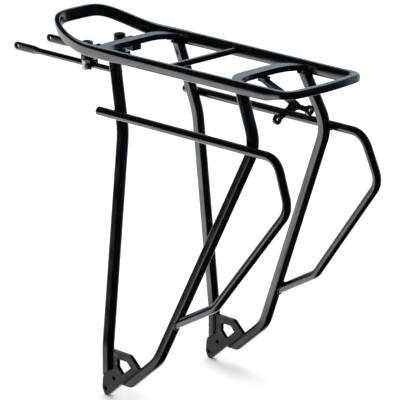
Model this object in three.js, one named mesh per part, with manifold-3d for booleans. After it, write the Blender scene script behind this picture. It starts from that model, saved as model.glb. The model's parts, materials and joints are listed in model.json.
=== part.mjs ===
// Rear rack for a touring or trekking bicycle, in millimetres, +Z up.
//
// The origin is halfway between the two lower holes of the feet, on the middle plane of the bicycle.
// +X points to the rear wheel's back, and the left side of the bicycle is -Y.
// The two side frames lean inwards towards the top: each is two square-section legs and a foot plate.
// They carry a closed deck loop with three cross-members, and a pannier rail outside each frame.
// Two stays reach forwards to the seat stays; each slides and swivels in its own clamp.

import * as THREE from 'three';
import { mergeVertices } from 'three/addons/utils/BufferGeometryUtils.js';
import Module from 'manifold-3d';

const wasm = await Module();
wasm.setup();

// ---- driving dimensions ----

const GAP = 0.3; // clearance between pieces that are welded or clamped together

// Deck loop: the centre line seen from above, and the three sections that it changes between.
const DECK = {
  frontX: -128, // centre line of the hoop at its front
  rearX: 248.3, // centre line of the rear end
  hoopStartX: -20, // where the sides start to close into the hoop
  hoopPowerX: 2.3, // the hoop is a superellipse with these two powers
  hoopPowerY: 4.2,
  halfWidthFront: 58.3,
  halfWidthRear: 56.2,
  rearCorner: 13.5,
  rearBow: 3,
  topZ: 381.4,
  riseStartX: -51.6, // the hoop is bent upwards from here
  rise: 18.5,
  risePower: 1.94,
  flare: 0.19, // the hoop's flat band leans outwards by this slope
  flareStartX: 230, // the lean grows from here to flareFullX
  flareFullX: -20,
  stations: 96,
};
const SIDE_SECTION = { width: 11, height: 14, power: 2.6 };
const HOOP_SECTION = { width: 6.8, height: 13.3, power: 5 };
const REAR_SECTION = { width: 11, height: 8.6, power: 3.6 };

// Legs: rounded square tube. Both legs of a side lie in one plane that leans inwards.
const LEG_SIZE = 11.3;
const LEG_POWER = 4.2;
const LEG_LEAN = 0.1107; // millimetres inwards for each millimetre of height
const LEG_PLANE_Y = 90.4; // distance of that plane from the middle at z = 0
const FOOT_Y = 84.3; // the lowest stretch of each leg is upright
const LEG_TOP_Z = 370.7;
const FRONT_LEG = { topX: -18.2, bendX: 3.6, bendZ: 293, footX: 4.4, footZ: 52, cutFrontZ: 16.5, cutRearZ: 25.5 };
const REAR_LEG = { topX: 172.2, bendX: 199.2, bendZ: 315, heelX: 83.1, heelZ: 53.3, endX: 22, endZ: 0.7, cutZ: 13.5 };

// Pannier rails: round tube, in a plane of their own outside the legs.
const RAIL_RADIUS = 5;
const RAIL_PLANE_Y = 88.7;
const RAIL_LEAN = 0.0685;
const RAIL_BEND = 24;
const RAIL_CORNERS = [[-23.6, 312.4], [240.9, 312.4], [262, 261], [165.2, 134], [112, 103.8]];

// Cross-members.
const BRIDGE = { topZ: 378, thickness: 6.4 };
// Half of each bridge's two edges seen from above, measured from the tops of its legs, in X and Y.
const FRONT_BRIDGE = {
  frontEdge: [[-31.6, 0], [-31.8, 24], [-30.6, 38], [-25.5, 47], [-14, 55]],
  rearEdge: [[16, 58], [5, 54.5], [-4, 50], [-11.5, 44.5], [-17, 37], [-18.9, 27], [-19, 0]],
};
const REAR_BRIDGE = {
  frontEdge: [[-28.4, 0], [-28.2, 20], [-26.2, 32], [-21, 41], [-12, 49.5], [-2, 56]],
  rearEdge: [[18, 58], [8, 54], [-1, 48.5], [-7, 41.5], [-11, 33], [-13.2, 22], [-13.6, 0]],
};
const CROSSBAR = { x: 66.5, width: 8, height: 6.5 };

// Foot plates.
const FOOT_PLATE_Y = 82.5;
const FOOT_PLATE_THICKNESS = 5;
const FOOT_HOLES = [[0, 0], [13.4, 15.1]];
const FOOT_HOLE_RADIUS = 2.65;

// Stays and their clamps.
const STAY = {
  y: 25.2,
  z: 346.6,
  radius: 3.5,
  frontX: -206.4,
  rearX: -37,
  flatLength: 30,
  flatHeight: 9.6,
  flatThickness: 3.6,
  taper: 12,
  holeX: -201.5,
  holeRadius: 2.6,
};
const CLAMP = {
  x: -87, // the vertical bolt's axis
  boltRadius: 3,
  headRadius: 6.8,
  socketRadius: 3.6,
  headHeight: 5.6,
  plateThickness: 2,
  plateRearX: -70.6,
  blockRadius: 7.2,
  blockTopZ: 357,
  shoulderZ: 351.6,
  shoeRearX: -76.2,
  shoeBottomZ: 342.2,
  screwX: -79.8,
  screwZ: 346,
};
const SADDLE = { frontX: -89, rearX: -83.6, bottomZ: 340 };
const ARM = {
  rearX: -59, // rear end of the low stretch that the clamp sits on
  halfWidth: 6.5,
  bottomZ: 357.4,
  topZ: 364,
  rootBottomZ: 368.4, // the root is higher and meets the front bridge's edge
  rootTopZ: 371.6,
};

// Bracket for a rear light.
const LIGHT = {
  x: 201.8, // middle of the fork's plate
  rootX: 153.5,
  heelX: 164.3,
  bendX: 185,
  bendZ: 361.4,
  strutWidth: 8,
  thickness: 4,
  eyeY: 25,
  eyeZ: 338.4,
  eyeRadius: 5.6,
  holeRadius: 2.6,
};

// ---- finishes ----

const gloss = { roughness: 0.32, metalness: 0.35 };
const blackAlloy = new THREE.MeshStandardMaterial({ color: 0x14161a, ...gloss });
const blackSteel = new THREE.MeshStandardMaterial({ color: 0x101114, roughness: 0.45, metalness: 0.7 });
const brightSteel = new THREE.MeshStandardMaterial({ color: 0xb9bdc0, roughness: 0.3, metalness: 1 });
const blackPlastic = new THREE.MeshStandardMaterial({ color: 0x151515, roughness: 0.6, metalness: 0 });

// ---- solids ----

function toSolid(geometry) {
  const bare = geometry.clone();
  bare.deleteAttribute('normal');
  bare.deleteAttribute('uv');
  const merged = mergeVertices(bare, 1e-3);
  const mesh = new wasm.Mesh({
    numProp: 3,
    vertProperties: new Float32Array(merged.attributes.position.array),
    triVerts: new Uint32Array(merged.index.array),
  });
  return new wasm.Manifold(mesh);
}

function toGeometry(solid) {
  const mesh = solid.getMesh();
  const geometry = new THREE.BufferGeometry();
  geometry.setAttribute('position', new THREE.BufferAttribute(new Float32Array(mesh.vertProperties), 3));
  geometry.setIndex(new THREE.BufferAttribute(new Uint32Array(mesh.triVerts), 1));
  return geometry;
}

function cut(geometry, ...cutters) {
  return toGeometry(cutters.reduce((solid, cutter) => solid.subtract(toSolid(cutter)), toSolid(geometry)));
}

function join(first, ...others) {
  return toGeometry(others.reduce((solid, other) => solid.add(toSolid(other)), toSolid(first)));
}

function box(x0, x1, y0, y1, z0, z1) {
  const geometry = new THREE.BoxGeometry(x1 - x0, y1 - y0, z1 - z0);
  geometry.translate((x0 + x1) / 2, (y0 + y1) / 2, (z0 + z1) / 2);
  return geometry;
}

// A cylinder from its centre, with its axis along 'x', 'y' or 'z'.
function rod(radius, length, axis, x, y, z, sides = 24) {
  const geometry = new THREE.CylinderGeometry(radius, radius, length, sides);
  if (axis === 'x') geometry.rotateZ(Math.PI / 2);
  if (axis === 'z') geometry.rotateX(Math.PI / 2);
  geometry.translate(x, y, z);
  return geometry;
}

// A flat plate: an outline in X and Z, `thickness` thick, centred on the plane at y.
function uprightPlate(shape, thickness, y) {
  const geometry = new THREE.ExtrudeGeometry(shape, { depth: thickness, bevelEnabled: false, curveSegments: 8 });
  geometry.rotateX(Math.PI / 2);
  geometry.translate(0, y + thickness / 2, 0);
  return geometry;
}

// One quarter-symmetric section: power 2 is an ellipse, higher powers are squarer.
function superellipsePoint(angle, halfWidth, halfHeight, power) {
  const c = Math.cos(angle);
  const s = Math.sin(angle);
  const scale = (Math.abs(c) ** power + Math.abs(s) ** power) ** (-1 / power);
  return [halfWidth * c * scale, halfHeight * s * scale];
}

function sectionShape(width, height, power, sides) {
  const points = [];
  for (let i = 0; i < sides; i += 1) {
    const angle = ((i + 0.5) / sides) * 2 * Math.PI;
    points.push(new THREE.Vector2(...superellipsePoint(angle, width / 2, height / 2, power)));
  }
  return new THREE.Shape(points);
}

// Straight stretches joined by a bend at each inner corner.
function bentPath(corners, bendRadius) {
  const path = new THREE.CurvePath();
  let from = corners[0];
  for (let i = 1; i < corners.length - 1; i += 1) {
    const radius = Array.isArray(bendRadius) ? bendRadius[i - 1] : bendRadius;
    const before = corners[i - 1].clone().sub(corners[i]).normalize();
    const after = corners[i + 1].clone().sub(corners[i]).normalize();
    const reach = radius / Math.tan(before.angleTo(after) / 2);
    const start = corners[i].clone().addScaledVector(before, reach);
    const end = corners[i].clone().addScaledVector(after, reach);
    path.add(new THREE.LineCurve3(from, start));
    path.add(new THREE.QuadraticBezierCurve3(start, corners[i], end));
    from = end;
  }
  path.add(new THREE.LineCurve3(from, corners.at(-1)));
  return path;
}

function tube(path, shape, steps) {
  return new THREE.ExtrudeGeometry(shape, { extrudePath: path, steps, bevelEnabled: false });
}

const smooth = (from, to, x) => THREE.MathUtils.smoothstep((x - from) / (to - from), 0, 1);
const mix = THREE.MathUtils.lerp;

// ---- deck loop ----

// Half of the centre line in plan, from the rear end's middle round to the hoop's front.
function deckHalfPlan() {
  const points = [];
  const cornerStart = DECK.halfWidthRear - DECK.rearCorner;
  const cornerX = DECK.rearX - DECK.rearBow - DECK.rearCorner;
  for (let i = 0; i <= 8; i += 1) {
    const share = i / 8;
    points.push([DECK.rearX - DECK.rearBow * share ** 2, cornerStart * share]);
  }
  for (let i = 1; i <= 10; i += 1) {
    const angle = (i / 10) * (Math.PI / 2);
    points.push([cornerX + DECK.rearCorner * Math.cos(angle), cornerStart + DECK.rearCorner * Math.sin(angle)]);
  }
  const hoopLength = DECK.hoopStartX - DECK.frontX;
  for (let i = 0; i <= 60; i += 1) {
    const angle = (i / 60) * (Math.PI / 2);
    const x = DECK.hoopStartX - hoopLength * Math.sin(angle) ** (2 / DECK.hoopPowerX);
    points.push([x, DECK.halfWidthFront * Math.cos(angle) ** (2 / DECK.hoopPowerY)]);
  }
  return points.map(([x, y]) => new THREE.Vector3(x, y, 0));
}

function deckCentreLine() {
  const half = deckHalfPlan();
  const other = half.slice(1, -1).reverse().map((p) => new THREE.Vector3(p.x, -p.y, 0));
  const loop = new THREE.CurvePath();
  const all = [...half, ...other];
  all.forEach((p, i) => loop.add(new THREE.LineCurve3(p, all[(i + 1) % all.length])));
  return loop.getSpacedPoints(DECK.stations).slice(0, DECK.stations);
}

function deckSection(x) {
  const hoop = smooth(-35, -95, x);
  const rear = smooth(212, 240, x);
  const squarer = smooth(20, -80, x);
  const blend = (key, front = hoop) => mix(mix(SIDE_SECTION[key], HOOP_SECTION[key], front), REAR_SECTION[key], rear);
  const height = blend('height');
  const past = Math.max(0, (DECK.riseStartX - x) / (DECK.riseStartX - DECK.frontX));
  const flare = DECK.flare * smooth(DECK.flareStartX, DECK.flareFullX, x);
  const z = DECK.topZ - height / 2 + DECK.rise * past ** DECK.risePower;
  return { width: blend('width'), height, power: blend('power', squarer), z, flare };
}

// The loop is lofted through upright sections; `grow` widens it for cutting its neighbours.
function deckLoop(grow = 0, sides = 14) {
  const centre = deckCentreLine();
  const count = centre.length;
  const positions = [];
  const index = [];
  centre.forEach((p, i) => {
    const along = centre[(i + 1) % count].clone().sub(centre[(i + count - 1) % count]).normalize();
    const section = deckSection(p.x);
    for (let k = 0; k < sides; k += 1) {
      const angle = ((k + 0.5) / sides) * 2 * Math.PI;
      const [out, up] = superellipsePoint(angle, section.width / 2 + grow, section.height / 2 + grow, section.power);
      const across = out + section.flare * up;
      positions.push(p.x + along.y * across, p.y - along.x * across, section.z + up);
      const next = (k + 1) % sides;
      const here = i * sides;
      const there = ((i + 1) % count) * sides;
      index.push(here + k, there + k, there + next, here + k, there + next, here + next);
    }
  });
  const geometry = new THREE.BufferGeometry();
  geometry.setAttribute('position', new THREE.Float32BufferAttribute(positions, 3));
  geometry.setIndex(index);
  return geometry;
}

// ---- cross-members ----

// Outline of a bowed bar whose ends sweep back over the tops of the two legs at legX.
function bridgeOutline({ frontEdge, rearEdge }, legX) {
  const mirrored = (edge) => edge.map(([x, y]) => [x, -y]).reverse();
  const toVectors = (edge) => edge.map(([x, y]) => new THREE.Vector2(legX + x, y));
  const front = new THREE.SplineCurve(toVectors([...mirrored(frontEdge), ...frontEdge.slice(1)]));
  const rear = new THREE.SplineCurve(toVectors([...rearEdge, ...mirrored(rearEdge).slice(1)]));
  return new THREE.Shape([...front.getPoints(26), ...rear.getPoints(30)]);
}

function bridge(edges, legX) {
  const outline = bridgeOutline(edges, legX);
  const bar = new THREE.ExtrudeGeometry(outline, { depth: BRIDGE.thickness, bevelEnabled: false });
  bar.translate(0, 0, BRIDGE.topZ - BRIDGE.thickness);
  return cut(bar, deckLoop(GAP));
}

function crossbar() {
  const end = DECK.halfWidthFront;
  const z = BRIDGE.topZ - CROSSBAR.height / 2;
  const path = new THREE.LineCurve3(new THREE.Vector3(CROSSBAR.x, -end, z), new THREE.Vector3(CROSSBAR.x, end, z));
  const bar = tube(path, sectionShape(CROSSBAR.height, CROSSBAR.width, 3, 16), 1);
  return cut(bar, deckLoop(GAP));
}

// ---- legs ----

const legY = (z) => LEG_PLANE_Y - LEG_LEAN * z;
const above = (z) => box(-300, 400, -200, 200, z, z + 60);

function frontLeg(side) {
  const leg = FRONT_LEG;
  const slope = (leg.topX - leg.bendX) / (LEG_TOP_Z - leg.bendZ);
  const overZ = LEG_TOP_Z + 8;
  const corners = [
    [leg.footX, FOOT_Y, 8],
    [leg.footX, FOOT_Y, leg.footZ],
    [leg.bendX, legY(leg.bendZ), leg.bendZ],
    [leg.bendX + slope * (overZ - leg.bendZ), legY(overZ), overZ],
  ].map(([x, y, z]) => new THREE.Vector3(x, side * y, z));
  const raw = tube(bentPath(corners, [120, 90]), sectionShape(LEG_SIZE, LEG_SIZE, LEG_POWER, 16), 24);
  const wedge = new THREE.Shape([
    new THREE.Vector2(leg.footX - 20, leg.cutFrontZ - 10.5),
    new THREE.Vector2(leg.footX + 20, leg.cutRearZ + 10.5),
    new THREE.Vector2(leg.footX + 20, -20),
    new THREE.Vector2(leg.footX - 20, -20),
  ]);
  return cut(raw, above(LEG_TOP_Z), deckLoop(GAP), uprightPlate(wedge, 40, side * FOOT_Y));
}

function rearLeg(side) {
  const leg = REAR_LEG;
  const slope = (leg.topX - leg.bendX) / (LEG_TOP_Z - leg.bendZ);
  const overZ = LEG_TOP_Z + 8;
  const corners = [
    [leg.endX, FOOT_Y, leg.endZ],
    [leg.heelX, FOOT_Y, leg.heelZ],
    [leg.bendX, legY(leg.bendZ), leg.bendZ],
    [leg.bendX + slope * (overZ - leg.bendZ), legY(overZ), overZ],
  ].map(([x, y, z]) => new THREE.Vector3(x, side * y, z));
  const raw = tube(bentPath(corners, [45, 40]), sectionShape(LEG_SIZE, LEG_SIZE, LEG_POWER, 16), 32);
  const below = box(-20, 80, side * FOOT_Y - 20, side * FOOT_Y + 20, -40, leg.cutZ);
  return cut(raw, above(LEG_TOP_Z), deckLoop(GAP), below);
}

// ---- pannier rails ----

function railPath(side) {
  const corners = RAIL_CORNERS.map(([x, z]) => new THREE.Vector3(x, side * (RAIL_PLANE_Y - RAIL_LEAN * z), z));
  return bentPath(corners, RAIL_BEND);
}

// The rail's lower end is cut to the rear leg's straight stretch, which it is welded to.
function pannierRail(side) {
  const raw = tube(railPath(side), sectionShape(2 * RAIL_RADIUS, 2 * RAIL_RADIUS, 2, 12), 44);
  const onLeg = (x, z) => new THREE.Vector3(x, side * legY(z), z);
  const legLine = new THREE.LineCurve3(onLeg(REAR_LEG.heelX, REAR_LEG.heelZ), onLeg(REAR_LEG.bendX, REAR_LEG.bendZ));
  const size = LEG_SIZE + 2 * GAP;
  const clearance = tube(legLine, sectionShape(size, size, LEG_POWER, 16), 4);
  const pieces = toSolid(raw).subtract(toSolid(clearance)).decompose();
  return toGeometry(pieces.reduce((largest, piece) => (piece.volume() > largest.volume() ? piece : largest)));
}

// A plastic plug closes the rail's front end: a rounded cap against the tube's end face.
function railPlug(side) {
  const [x, z] = RAIL_CORNERS[0];
  const profile = [[0, 0], [RAIL_RADIUS, 0], [RAIL_RADIUS, 0.6], [4.4, 1.6], [3, 2.2], [0, 2.5]];
  const geometry = new THREE.LatheGeometry(profile.map(([r, h]) => new THREE.Vector2(r, h)), 20);
  geometry.rotateZ(Math.PI / 2);
  geometry.translate(x - GAP, side * (RAIL_PLANE_Y - RAIL_LEAN * z), z);
  return geometry;
}

// ---- foot plates ----

function footPlate(side) {
  const front = FRONT_LEG;
  const legBack = front.footX + LEG_SIZE / 2 + GAP;
  const shoulder = (x) => {
    const share = (x - (front.footX - LEG_SIZE / 2)) / LEG_SIZE;
    return mix(front.cutFrontZ, front.cutRearZ, share) - GAP - 0.9;
  };
  const heel = REAR_LEG;
  const run = new THREE.Vector2(heel.heelX - heel.endX, heel.heelZ - heel.endZ).normalize();
  // A point on the rear leg's upper face, `along` millimetres from the leg's centre line at its end.
  const onLeg = (along) => {
    const offset = LEG_SIZE / 2 + GAP;
    return [heel.endX + run.x * along - run.y * offset, heel.endZ + run.y * along + run.x * offset];
  };
  const outline = new THREE.Shape();
  outline.moveTo(-5.4, 0);
  outline.lineTo(-4.1, shoulder(-4.1));
  outline.lineTo(legBack, shoulder(legBack));
  outline.lineTo(legBack, 48);
  outline.lineTo(36, 48);
  outline.quadraticCurveTo(39.5, 48, 42, 45.4);
  outline.lineTo(...onLeg(46));
  outline.lineTo(...onLeg(12));
  outline.absarc(1.6, -2.2, 5.6, -0.9, -2.6, true);
  outline.lineTo(-5.4, 0);
  const window = new THREE.Path();
  window.moveTo(18.9, 39.6);
  window.lineTo(18.9, 29.6);
  window.lineTo(26.3, 22.5);
  window.lineTo(40, 33.9);
  window.lineTo(34, 39.6);
  window.closePath();
  outline.holes.push(window);
  const plate = uprightPlate(outline, FOOT_PLATE_THICKNESS, side * FOOT_PLATE_Y);
  const holes = FOOT_HOLES.map(([x, z]) => rod(FOOT_HOLE_RADIUS, 20, 'y', x, side * FOOT_PLATE_Y, z, 20));
  return cut(plate, ...holes);
}

// ---- rear light bracket ----

// A strut welded under the rear bridge, ending in a fork with two eyelets for the light's bolts.
function lightBracket() {
  const { x, rootX, heelX, bendX, bendZ, eyeY, eyeZ, thickness } = LIGHT;
  const rootTopZ = BRIDGE.topZ - BRIDGE.thickness - GAP;
  const front = x - thickness / 2;
  const rear = x + thickness / 2;
  const strut = new THREE.Shape([
    new THREE.Vector2(rootX, rootTopZ),
    new THREE.Vector2(heelX, rootTopZ),
    new THREE.Vector2(heelX, rootTopZ - 2.2),
    new THREE.Vector2(bendX, bendZ),
    new THREE.Vector2(rear, 353),
    new THREE.Vector2(rear, 345),
    new THREE.Vector2(front, 345),
    new THREE.Vector2(front, 349.8),
    new THREE.Vector2(bendX - 2, bendZ - 5),
    new THREE.Vector2(heelX - 6, rootTopZ - 4.4),
    new THREE.Vector2(rootX, rootTopZ - 4.4),
  ]);
  const pieces = [uprightPlate(strut, LIGHT.strutWidth, 0)];
  for (const side of [-1, 1]) {
    const arm = new THREE.Shape([
      new THREE.Vector2(0, 353),
      new THREE.Vector2(side * 4.6, 353),
      new THREE.Vector2(side * 8.5, 348.6),
      new THREE.Vector2(side * (eyeY - 1), eyeZ + 4.2),
      new THREE.Vector2(side * (eyeY - 3.5), eyeZ - 2),
      new THREE.Vector2(side * 6, 343.2),
      new THREE.Vector2(0, 342.6),
    ]);
    const plate = new THREE.ExtrudeGeometry(arm, { depth: thickness, bevelEnabled: false });
    plate.rotateX(Math.PI / 2);
    plate.rotateZ(Math.PI / 2);
    plate.translate(front, 0, 0);
    pieces.push(plate, rod(LIGHT.eyeRadius, thickness, 'x', x, side * eyeY, eyeZ));
  }
  const holes = [-1, 1].map((side) => rod(LIGHT.holeRadius, 20, 'x', x, side * eyeY, eyeZ, 20));
  return cut(join(...pieces), ...holes);
}

// ---- stays and clamps ----

// A round rod whose front end is pressed flat, rounded and drilled.
function stay(side) {
  const y = side * STAY.y;
  const flatEndX = STAY.frontX + STAY.flatLength;
  const roundX = flatEndX + STAY.taper;
  const stations = [
    [STAY.frontX, STAY.flatThickness, STAY.flatHeight, 5],
    [flatEndX, STAY.flatThickness, STAY.flatHeight, 5],
    [flatEndX + STAY.taper / 2, 5, 8.6, 3],
    [roundX, 2 * STAY.radius, 2 * STAY.radius, 2],
    [STAY.rearX, 2 * STAY.radius, 2 * STAY.radius, 2],
  ];
  const sides = 16;
  const positions = [];
  const index = [];
  stations.forEach(([x, width, height, power], i) => {
    for (let k = 0; k < sides; k += 1) {
      const angle = ((k + 0.5) / sides) * 2 * Math.PI;
      const [across, up] = superellipsePoint(angle, width / 2, height / 2, power);
      positions.push(x, y + across, STAY.z + up);
      const next = (k + 1) % sides;
      if (i > 0) {
        const here = (i - 1) * sides;
        const there = i * sides;
        index.push(here + k, here + next, there + next, here + k, there + next, there + k);
      }
    }
  });
  const last = (stations.length - 1) * sides;
  for (let k = 1; k < sides - 1; k += 1) {
    index.push(0, k + 1, k);
    index.push(last, last + k, last + k + 1);
  }
  const geometry = new THREE.BufferGeometry();
  geometry.setAttribute('position', new THREE.Float32BufferAttribute(positions, 3));
  geometry.setIndex(index);
  const nose = STAY.flatHeight / 2;
  const noseX = STAY.frontX + nose;
  const roundEnd = cut(
    box(STAY.frontX - 1, noseX, y - 5, y + 5, STAY.z - 8, STAY.z + 8),
    rod(nose, 20, 'y', noseX, y, STAY.z, 28),
  );
  return cut(geometry, roundEnd, rod(STAY.holeRadius, 20, 'y', STAY.holeX, y, STAY.z, 20));
}

// A plastic cap on the stay's rear end also stops it from pulling out of the clamp.
function stayCap(side) {
  const profile = [[0, 0], [3.8, 0], [3.8, 2.2], [3, 3.2], [0, 3.6]];
  const geometry = new THREE.LatheGeometry(profile.map(([r, h]) => new THREE.Vector2(r, h)), 20);
  geometry.rotateZ(-Math.PI / 2);
  geometry.translate(STAY.rearX + GAP, side * STAY.y, STAY.z);
  return geometry;
}

// A joggled arm welded to the front bridge: its low stretch has a slot that the clamp bolt stands in.
function stayArm(side) {
  const { rearX, halfWidth, bottomZ, topZ, rootBottomZ, rootTopZ } = ARM;
  const y = side * STAY.y;
  const rootEndX = FRONT_LEG.topX + FRONT_BRIDGE.frontEdge[0][0] + 4;
  const profile = new THREE.Shape([
    new THREE.Vector2(CLAMP.x, bottomZ),
    new THREE.Vector2(CLAMP.x, topZ),
    new THREE.Vector2(rearX - 9, topZ),
    new THREE.Vector2(rearX - 3, rootTopZ),
    new THREE.Vector2(rootEndX, rootTopZ),
    new THREE.Vector2(rootEndX, rootBottomZ),
    new THREE.Vector2(rearX, rootBottomZ),
    new THREE.Vector2(rearX, bottomZ),
  ]);
  const nose = rod(halfWidth, topZ - bottomZ, 'z', CLAMP.x, y, (topZ + bottomZ) / 2, 28);
  const arm = join(uprightPlate(profile, 2 * halfWidth, y), nose);
  const bridgePlan = bridgeOutline(FRONT_BRIDGE, FRONT_LEG.topX);
  const bridgeFace = new THREE.ExtrudeGeometry(bridgePlan, { depth: 40, bevelEnabled: false });
  bridgeFace.translate(-GAP, 0, ARM.bottomZ - 5);
  const slotRadius = CLAMP.boltRadius + 0.4;
  const slotEnd = CLAMP.x + 5;
  const slot = [
    rod(slotRadius, 40, 'z', CLAMP.x, y, topZ, 20),
    rod(slotRadius, 40, 'z', slotEnd, y, topZ, 20),
    box(CLAMP.x, slotEnd, y - slotRadius, y + slotRadius, bottomZ - 5, topZ + 5),
  ];
  return cut(arm, bridgeFace, ...slot);
}

// The top plate spreads the bolt's load, and its turned-up rear edge is the handle for swivelling it.
function clampPlate(side) {
  const y = side * STAY.y;
  const low = ARM.topZ + GAP;
  const high = low + CLAMP.plateThickness;
  const profile = new THREE.Shape([
    new THREE.Vector2(CLAMP.x, low),
    new THREE.Vector2(CLAMP.x, high),
    new THREE.Vector2(CLAMP.x + 8.2, high),
    new THREE.Vector2(CLAMP.x + 12, high + 4.4),
    new THREE.Vector2(CLAMP.plateRearX, high + 4.4),
    new THREE.Vector2(CLAMP.plateRearX, high + 2.4),
    new THREE.Vector2(CLAMP.x + 12.9, high + 2.4),
    new THREE.Vector2(CLAMP.x + 9.1, low),
  ]);
  const nose = rod(CLAMP.headRadius, CLAMP.plateThickness, 'z', CLAMP.x, y, (low + high) / 2, 28);
  const hole = rod(CLAMP.boltRadius + GAP, 30, 'z', CLAMP.x, y, low, 20);
  return cut(join(uprightPlate(profile, 2 * ARM.halfWidth, y), nose), hole);
}

// A large round head with a hexagon socket, on a shank that screws into the block below the arm.
function clampBolt(side) {
  const y = side * STAY.y;
  const seat = ARM.topZ + CLAMP.plateThickness + 2 * GAP;
  const top = seat + CLAMP.headHeight;
  const r = CLAMP.headRadius;
  const profile = [[0, seat], [r - 0.4, seat], [r, seat + 0.5], [r, top - 1], [r - 0.9, top], [0, top]];
  const head = new THREE.LatheGeometry(profile.map(([x, z]) => new THREE.Vector2(x, z)), 28);
  head.rotateX(Math.PI / 2);
  head.translate(CLAMP.x, y, 0);
  const shankBottom = CLAMP.blockTopZ - 3.5;
  const shankLength = seat + 1 - shankBottom;
  const shank = rod(CLAMP.boltRadius, shankLength, 'z', CLAMP.x, y, shankBottom + shankLength / 2, 20);
  const socket = rod(CLAMP.socketRadius, 6, 'z', CLAMP.x, y, top, 6);
  return cut(join(head, shank), socket);
}

// The block that swivels under the arm is a round pad with a shoe below it: a groove takes the stay.
function clampBlock(side) {
  const y = side * STAY.y;
  const { x, blockRadius, blockTopZ, shoulderZ, shoeRearX, shoeBottomZ, boltRadius } = CLAMP;
  const body = join(
    rod(blockRadius, blockTopZ - shoulderZ, 'z', x, y, (blockTopZ + shoulderZ) / 2, 36),
    box(SADDLE.rearX + GAP, shoeRearX, y - 6.2, y + 6.2, shoeBottomZ, shoulderZ + 1),
  );
  const grooveRadius = STAY.radius + GAP;
  const groove = rod(grooveRadius, 60, 'x', x, y, STAY.z, 24);
  const mouth = box(x - 30, x + 30, y - grooveRadius, y + grooveRadius, shoeBottomZ - 5, STAY.z);
  const thread = rod(boltRadius + GAP, 8, 'z', x, y, blockTopZ, 20);
  const screwHole = rod(2.3, 10, 'y', CLAMP.screwX, y + side * 6.5, CLAMP.screwZ, 16);
  return cut(body, groove, mouth, thread, screwHole);
}

// A screw in the block's outer wall that locks the stay in its groove.
function lockScrew(side) {
  const face = side * (STAY.y + 6.2 + GAP);
  const profile = [[0, 0], [3, 0], [3, 1.9], [2.5, 2.4], [0, 2.4]];
  const head = new THREE.LatheGeometry(profile.map(([r, h]) => new THREE.Vector2(r, h)), 20);
  if (side < 0) head.rotateX(Math.PI);
  head.translate(CLAMP.screwX, face, CLAMP.screwZ);
  const tipY = side * (STAY.y + STAY.radius + GAP);
  const length = Math.abs(face - tipY) + 1;
  const shank = rod(2, length, 'y', CLAMP.screwX, tipY + (side * length) / 2, CLAMP.screwZ, 16);
  return join(head, shank);
}

// A bright steel strap round the rod, in front of the block's lower part.
function clampSaddle(side) {
  const y = side * STAY.y;
  const strap = box(SADDLE.frontX, SADDLE.rearX, y - 6.4, y + 6.4, SADDLE.bottomZ, CLAMP.shoulderZ - GAP);
  return cut(strap, rod(STAY.radius + GAP, 60, 'x', CLAMP.x, y, STAY.z, 24));
}

// ---- assembly ----

const rack = new THREE.Group();
rack.name = 'rear_rack';

function addPiece(parent, name, geometry, material) {
  geometry.computeVertexNormals();
  const mesh = new THREE.Mesh(geometry, material);
  mesh.name = name;
  parent.add(mesh);
}

addPiece(rack, 'deck_loop', deckLoop(), blackAlloy);
addPiece(rack, 'front_bridge', bridge(FRONT_BRIDGE, FRONT_LEG.topX), blackAlloy);
addPiece(rack, 'middle_crossbar', crossbar(), blackAlloy);
addPiece(rack, 'rear_bridge', bridge(REAR_BRIDGE, REAR_LEG.topX), blackAlloy);
addPiece(rack, 'light_bracket', lightBracket(), blackSteel);

for (const [name, side] of [['left', -1], ['right', 1]]) {
  const half = new THREE.Group();
  addPiece(half, `${name}_front_leg`, frontLeg(side), blackAlloy);
  addPiece(half, `${name}_rear_leg`, rearLeg(side), blackAlloy);
  addPiece(half, `${name}_pannier_rail`, pannierRail(side), blackAlloy);
  addPiece(half, `${name}_rail_plug`, railPlug(side), blackPlastic);
  addPiece(half, `${name}_foot_plate`, footPlate(side), blackAlloy);
  addPiece(half, `${name}_stay_arm`, stayArm(side), blackAlloy);
  addPiece(half, `${name}_clamp_plate`, clampPlate(side), blackSteel);
  addPiece(half, `${name}_clamp_bolt`, clampBolt(side), blackSteel);
  addPiece(half, `${name}_clamp_block`, clampBlock(side), blackAlloy);
  addPiece(half, `${name}_clamp_saddle`, clampSaddle(side), brightSteel);
  addPiece(half, `${name}_lock_screw`, lockScrew(side), blackSteel);
  addPiece(half, `${name}_stay`, stay(side), blackAlloy);
  addPiece(half, `${name}_stay_cap`, stayCap(side), blackPlastic);
  rack.add(half);
}

export default rack;
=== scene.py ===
# %% [markdown]
# # A rear rack for a bicycle
# The rack is a welded frame of black coated aluminium tube. It carries bags on its two rails and a load on
# its deck, and two loose stays tie it to the bicycle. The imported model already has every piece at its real
# size and place, so this lesson never moves anything: it wraps a finer surface round each piece, and gives
# each surface a finish. Lengths below are in millimetres, and MM turns them into Blender's metres.

# %% Load the frame
import json
import math

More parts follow.
